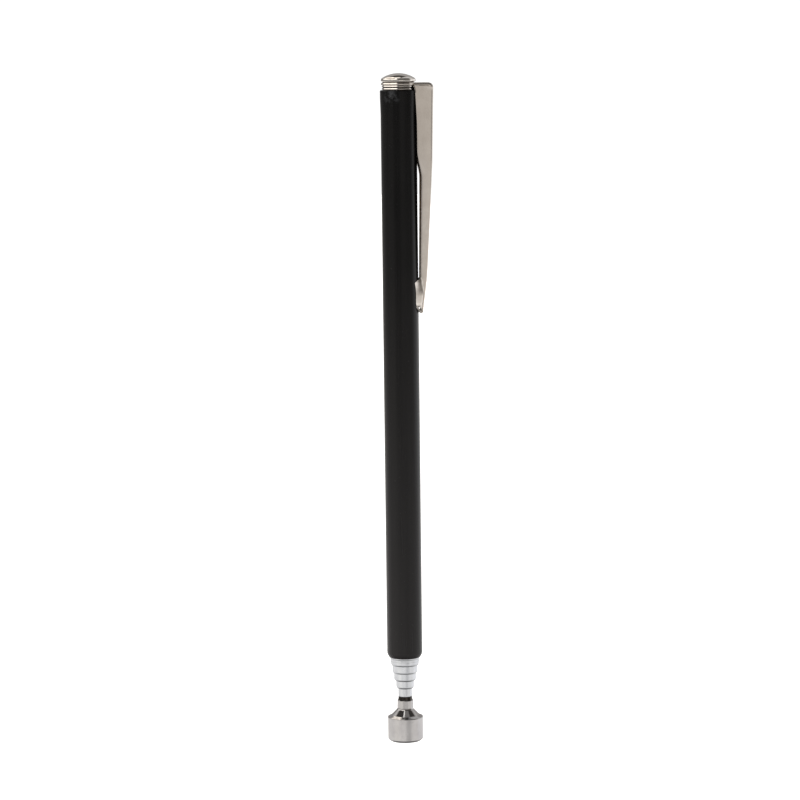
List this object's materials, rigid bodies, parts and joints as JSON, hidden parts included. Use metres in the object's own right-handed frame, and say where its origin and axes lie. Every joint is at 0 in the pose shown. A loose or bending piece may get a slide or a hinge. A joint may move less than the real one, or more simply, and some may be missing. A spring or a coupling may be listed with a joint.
{
  "type": "magnetic pickup tool",
  "caption": "Pen-style telescoping magnetic pickup tool: black tube handle with domed cap and pocket clip, nested bright sections and a round magnet head.",
  "frame": {"origin": "centre of the magnet's flat face, at the bottom of the standing tool", "axes": "+Z along the pen's axis towards the domed cap, +X towards the pocket clip"},
  "size_m": [0.0102, 0.007, 0.13],
  "materials": {
    "handle_lacquer": "glossy black baked lacquer on drawn steel tube",
    "cap_nickel": "bright nickel plate",
    "clip_nickel": "bright nickel plate on formed sheet steel",
    "section_plate": "bright plate on thin drawn tube",
    "head_nickel": "bright nickel plate on turned steel",
    "magnet_coat": "nickel-coated sintered magnet, ground flat",
    "plug_brass": "as turned",
    "sleeve_bronze": "rolled phosphor bronze strip"
  },
  "bodies": {
    "handle": {"handle_tube": "handle_lacquer", "mouth_bush": "section_plate", "end_plug": "plug_brass", "end_ferrule": "cap_nickel", "clip_ring": "clip_nickel", "top_cap": "cap_nickel"},
    "clip": {"clip_arm": "clip_nickel"},
    "sleeve_1": {"friction_sleeve_1": "sleeve_bronze"},
    "section_1": {"section_tube_1": "section_plate", "stop_plug_1": "plug_brass"},
    "sleeve_2": {"friction_sleeve_2": "sleeve_bronze"},
    "section_2": {"section_tube_2": "section_plate", "stop_plug_2": "plug_brass"},
    "sleeve_3": {"friction_sleeve_3": "sleeve_bronze"},
    "section_3": {"section_tube_3": "section_plate", "stop_plug_3": "plug_brass"},
    "sleeve_4": {"friction_sleeve_4": "sleeve_bronze"},
    "section_4": {"section_tube_4": "section_plate", "stop_plug_4": "plug_brass"},
    "sleeve_5": {"friction_sleeve_5": "sleeve_bronze"},
    "section_5": {"section_tube_5": "section_plate", "stop_plug_5": "plug_brass", "magnet_holder": "head_nickel", "magnet": "magnet_coat"}
  },
  "joints": [
    {"name": "clip_flex", "type": "hinge", "parent": "handle", "child": "clip", "pos_m": [0.0034, 0, 0.12798], "axis": [0, -1, 0], "range_deg": [0, 3], "stiffness_Nm_per_rad": 2},
    {"name": "section_slide_1", "type": "slide", "parent": "handle", "child": "sleeve_1", "axis": [0, 0, -1], "range_m": [0, 0.0919]},
    {"name": "section_spin_1", "type": "hinge", "parent": "sleeve_1", "child": "section_1", "pos_m": [0, 0, 0.1], "axis": [0, 0, 1], "continuous": true},
    {"name": "section_slide_2", "type": "slide", "parent": "section_1", "child": "sleeve_2", "axis": [0, 0, -1], "range_m": [0, 0.0958]},
    {"name": "section_spin_2", "type": "hinge", "parent": "sleeve_2", "child": "section_2", "pos_m": [0, 0, 0.1], "axis": [0, 0, 1], "continuous": true},
    {"name": "section_slide_3", "type": "slide", "parent": "section_2", "child": "sleeve_3", "axis": [0, 0, -1], "range_m": [0, 0.0958]},
    {"name": "section_spin_3", "type": "hinge", "parent": "sleeve_3", "child": "section_3", "pos_m": [0, 0, 0.1], "axis": [0, 0, 1], "continuous": true},
    {"name": "section_slide_4", "type": "slide", "parent": "section_3", "child": "sleeve_4", "axis": [0, 0, -1], "range_m": [0, 0.0958]},
    {"name": "section_spin_4", "type": "hinge", "parent": "sleeve_4", "child": "section_4", "pos_m": [0, 0, 0.1], "axis": [0, 0, 1], "continuous": true},
    {"name": "section_slide_5", "type": "slide", "parent": "section_4", "child": "sleeve_5", "axis": [0, 0, -1], "range_m": [0, 0.0958]},
    {"name": "section_spin_5", "type": "hinge", "parent": "sleeve_5", "child": "section_5", "pos_m": [0, 0, 0.1], "axis": [0, 0, 1], "continuous": true}
  ]
}
